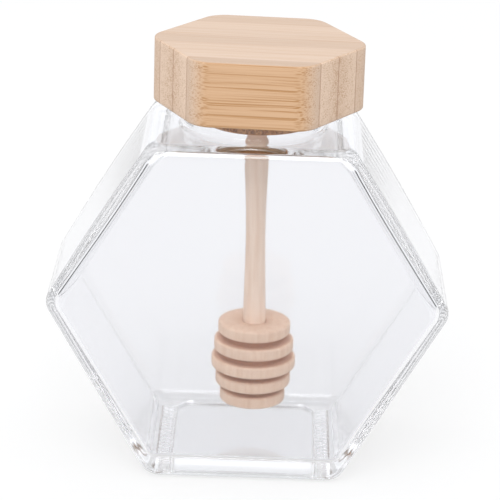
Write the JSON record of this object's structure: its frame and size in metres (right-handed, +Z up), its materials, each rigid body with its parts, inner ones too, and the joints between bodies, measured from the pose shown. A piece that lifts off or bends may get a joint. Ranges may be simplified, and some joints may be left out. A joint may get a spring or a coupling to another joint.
{
  "type": "honey pot with dipper",
  "caption": "Hexagonal clear glass honey pot with a bamboo lid and a turned wooden dipper that hangs inside.",
  "frame": {"origin": "middle of the footprint, on the surface that the pot stands on", "axes": "+Z up through the neck and lid, -Y towards the front hexagon face, +X to the right of the front"},
  "size_m": [0.1162, 0.056, 0.1269],
  "materials": {
    "glass": "clear and glossy",
    "bamboo": "laminated strips, sanded satin",
    "turned_wood": "pale fine grain, turned and sanded, unvarnished"
  },
  "bodies": {
    "root": {"glass_jar": "glass", "bamboo_lid": "bamboo", "dipper_rod": "turned_wood", "dipper_head": "turned_wood"}
  },
  "joints": []
}
